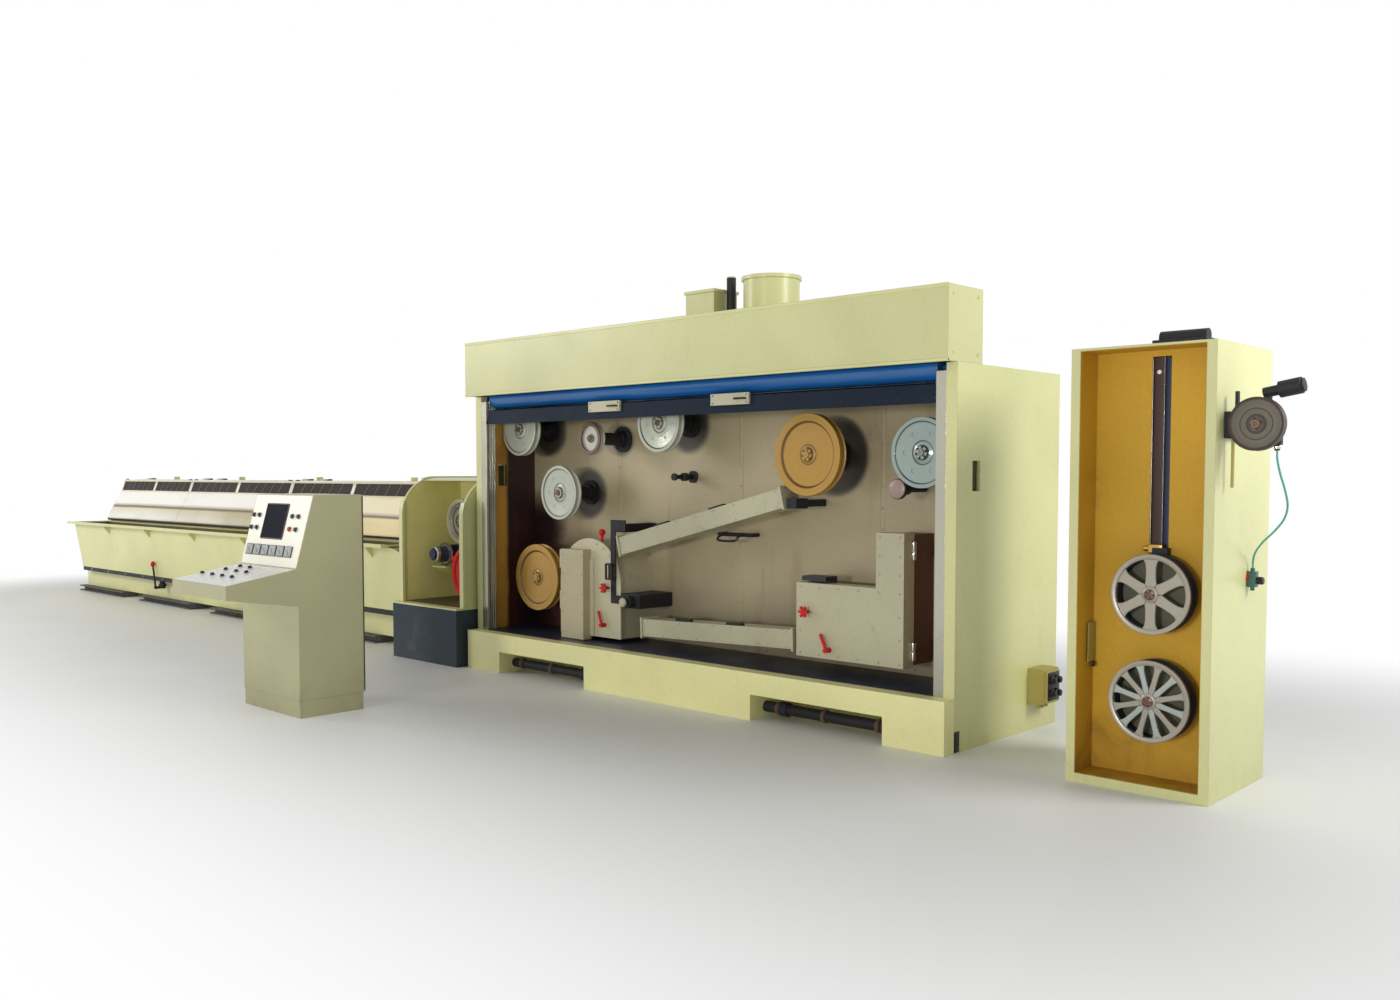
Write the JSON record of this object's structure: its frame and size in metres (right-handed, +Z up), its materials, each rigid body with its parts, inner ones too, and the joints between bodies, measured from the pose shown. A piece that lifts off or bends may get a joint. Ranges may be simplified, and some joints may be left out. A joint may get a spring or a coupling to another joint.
{
  "type": "wire drawing machine",
  "caption": "Rod breakdown wire drawing line: hooded drawing machine with coolant tub, capstan stand, open-front continuous annealer, accumulator tower and free-standing control desk.",
  "frame": {"origin": "on the floor, at the centre of the annealer cabinet's footprint", "axes": "+X runs along the line towards the accumulator tower, +Y runs back from the open front, +Z up"},
  "size_m": [15.2907, 3.974, 2.92],
  "materials": {
    "cream_paint": "satin cream enamel, scuffed low down",
    "ochre_paint": "satin yellow ochre enamel",
    "steel_sheet": "brushed stainless sheet, warm tint",
    "polished_steel": "brushed stainless panels",
    "dark_paint": "dark slate paint",
    "slate_paint": "slate grey paint",
    "orange_metal": "amber coated pulley face",
    "pale_metal": "pale grey coated metal",
    "pale_box": "pale cream grey enamel",
    "blue_curtain": "blue coated curtain",
    "smoked_band": "smoked plastic band",
    "red_drum": "red enamel",
    "brown_paint": "dark brown enamel",
    "red_grip": "red moulded grips",
    "alloy": "cast and machined alloy",
    "guide_alloy": "anodised guide rail",
    "machined_steel": "machined steel",
    "motor_blue": "motor blue paint",
    "desk_paint": "khaki cream enamel",
    "desk_door": "dark brown edge",
    "desk_black": "dark controls and screen",
    "yellow_box": "yellowed enamel",
    "valve_teal": "teal valve body"
  },
  "bodies": {
    "line_frame": {"annealer_plinth": "cream_paint", "annealer_side_walls": "cream_paint", "annealer_rear_wall": "cream_paint", "annealer_roof": "cream_paint", "annealer_header": "cream_paint", "shutter_guides": "guide_alloy", "shutter_roll": "blue_curtain", "shutter_curtain": "smoked_band", "shutter_handles": "cream_paint", "chamber_liners": "ochre_paint", "chamber_back_plate": "steel_sheet", "chamber_tray": "dark_paint", "chamber_fittings": "dark_paint", "pulley_bearings": "machined_steel", "steam_tubes": "pale_box", "arch_contact_box": "pale_box", "contact_motor": "dark_paint", "water_seal_box": "brown_paint", "water_seal_lid": "pale_box", "valve_handles": "red_grip", "exhaust_stack": "cream_paint", "junction_box": "yellow_box", "drain_pipes": "dark_paint", "stand_base_block": "slate_paint", "stand_housing": "cream_paint", "stand_drive": "motor_blue", "stand_drum": "red_drum", "machine_bed": "cream_paint", "machine_walls": "cream_paint", "machine_feet": "slate_paint", "coolant_tub": "cream_paint", "gear_case": "cream_paint", "capstan_row": "alloy", "hood_brackets": "dark_paint", "tub_rail": "dark_paint", "desk_body": "desk_paint", "desk_panels": "desk_door", "desk_controls": "desk_black", "tower_housing": "cream_paint", "tower_liner": "ochre_paint", "tower_guide": "dark_paint", "side_bracket": "dark_paint", "air_valve": "valve_teal", "air_hose": "valve_teal"},
    "contact_pulley_upper": {"contact_pulley_upper": "orange_metal"},
    "contact_pulley_lower": {"contact_pulley_lower": "orange_metal"},
    "guide_pulley_entry": {"guide_pulley_entry": "pale_metal"},
    "guide_pulley_left": {"guide_pulley_left": "pale_metal"},
    "guide_pulley_middle": {"guide_pulley_middle": "pale_metal"},
    "guide_pulley_exit": {"guide_pulley_exit": "pale_metal"},
    "guide_pulley_small": {"guide_pulley_small": "pale_metal"},
    "draw_capstan": {"draw_capstan": "alloy"},
    "hood_lid_1": {"hood_lid_1": "polished_steel"},
    "hood_lid_2": {"hood_lid_2": "polished_steel"},
    "hood_lid_3": {"hood_lid_3": "polished_steel"},
    "hood_lid_4": {"hood_lid_4": "polished_steel"},
    "dancer_carriage": {"dancer_carriage": "dark_paint"},
    "dancer_wheel": {"dancer_wheel": "alloy"},
    "lower_wheel": {"lower_wheel": "alloy"},
    "side_pulley": {"side_pulley": "machined_steel"}
  },
  "joints": [
    {"name": "contact_pulley_upper_spin", "type": "hinge", "parent": "line_frame", "child": "contact_pulley_upper", "pos_m": [1, -0.345, 1.673], "axis": [0, 1, 0], "continuous": true},
    {"name": "contact_pulley_lower_spin", "type": "hinge", "parent": "line_frame", "child": "contact_pulley_lower", "pos_m": [-1.707, -0.345, 0.737], "axis": [0, 1, 0], "continuous": true},
    {"name": "guide_pulley_entry_spin", "type": "hinge", "parent": "line_frame", "child": "guide_pulley_entry", "pos_m": [-1.915, -0.345, 1.905], "axis": [0, 1, 0], "continuous": true},
    {"name": "guide_pulley_left_spin", "type": "hinge", "parent": "line_frame", "child": "guide_pulley_left", "pos_m": [-1.43, -0.345, 1.407], "axis": [0, 1, 0], "continuous": true},
    {"name": "guide_pulley_middle_spin", "type": "hinge", "parent": "line_frame", "child": "guide_pulley_middle", "pos_m": [-0.335, -0.345, 1.912], "axis": [0, 1, 0], "continuous": true},
    {"name": "guide_pulley_exit_spin", "type": "hinge", "parent": "line_frame", "child": "guide_pulley_exit", "pos_m": [1.845, -0.345, 1.675], "axis": [0, 1, 0], "continuous": true},
    {"name": "guide_pulley_small_spin", "type": "hinge", "parent": "line_frame", "child": "guide_pulley_small", "pos_m": [-1.05, -0.345, 1.816], "axis": [0, 1, 0], "continuous": true},
    {"name": "draw_capstan_spin", "type": "hinge", "parent": "line_frame", "child": "draw_capstan", "pos_m": [-2.77, -0.345, 1.15], "axis": [0, 1, 0], "continuous": true},
    {"name": "hood_lid_1_open", "type": "hinge", "parent": "line_frame", "child": "hood_lid_1", "pos_m": [-10.2046, 0.44, 1.482], "axis": [-1, 0, 0], "range_deg": [0, 75]},
    {"name": "hood_lid_2_open", "type": "hinge", "parent": "line_frame", "child": "hood_lid_2", "pos_m": [-7.8614, 0.44, 1.482], "axis": [-1, 0, 0], "range_deg": [0, 75]},
    {"name": "hood_lid_3_open", "type": "hinge", "parent": "line_frame", "child": "hood_lid_3", "pos_m": [-5.2758, 0.44, 1.482], "axis": [-1, 0, 0], "range_deg": [0, 75]},
    {"name": "hood_lid_4_open", "type": "hinge", "parent": "line_frame", "child": "hood_lid_4", "pos_m": [-3.579, 0.44, 1.482], "axis": [-1, 0, 0], "range_deg": [0, 75]},
    {"name": "dancer_travel", "type": "slide", "parent": "line_frame", "child": "dancer_carriage", "axis": [0, 0, 1], "range_m": [0, 0.9]},
    {"name": "dancer_wheel_spin", "type": "hinge", "parent": "dancer_carriage", "child": "dancer_wheel", "pos_m": [3.32, -0.57, 0.97], "axis": [0, 1, 0], "continuous": true},
    {"name": "lower_wheel_spin", "type": "hinge", "parent": "line_frame", "child": "lower_wheel", "pos_m": [3.32, -0.57, 0.45], "axis": [0, 1, 0], "continuous": true},
    {"name": "side_pulley_spin", "type": "hinge", "parent": "line_frame", "child": "side_pulley", "pos_m": [3.773, -0.55, 1.779], "axis": [0, 1, 0], "continuous": true}
  ]
}
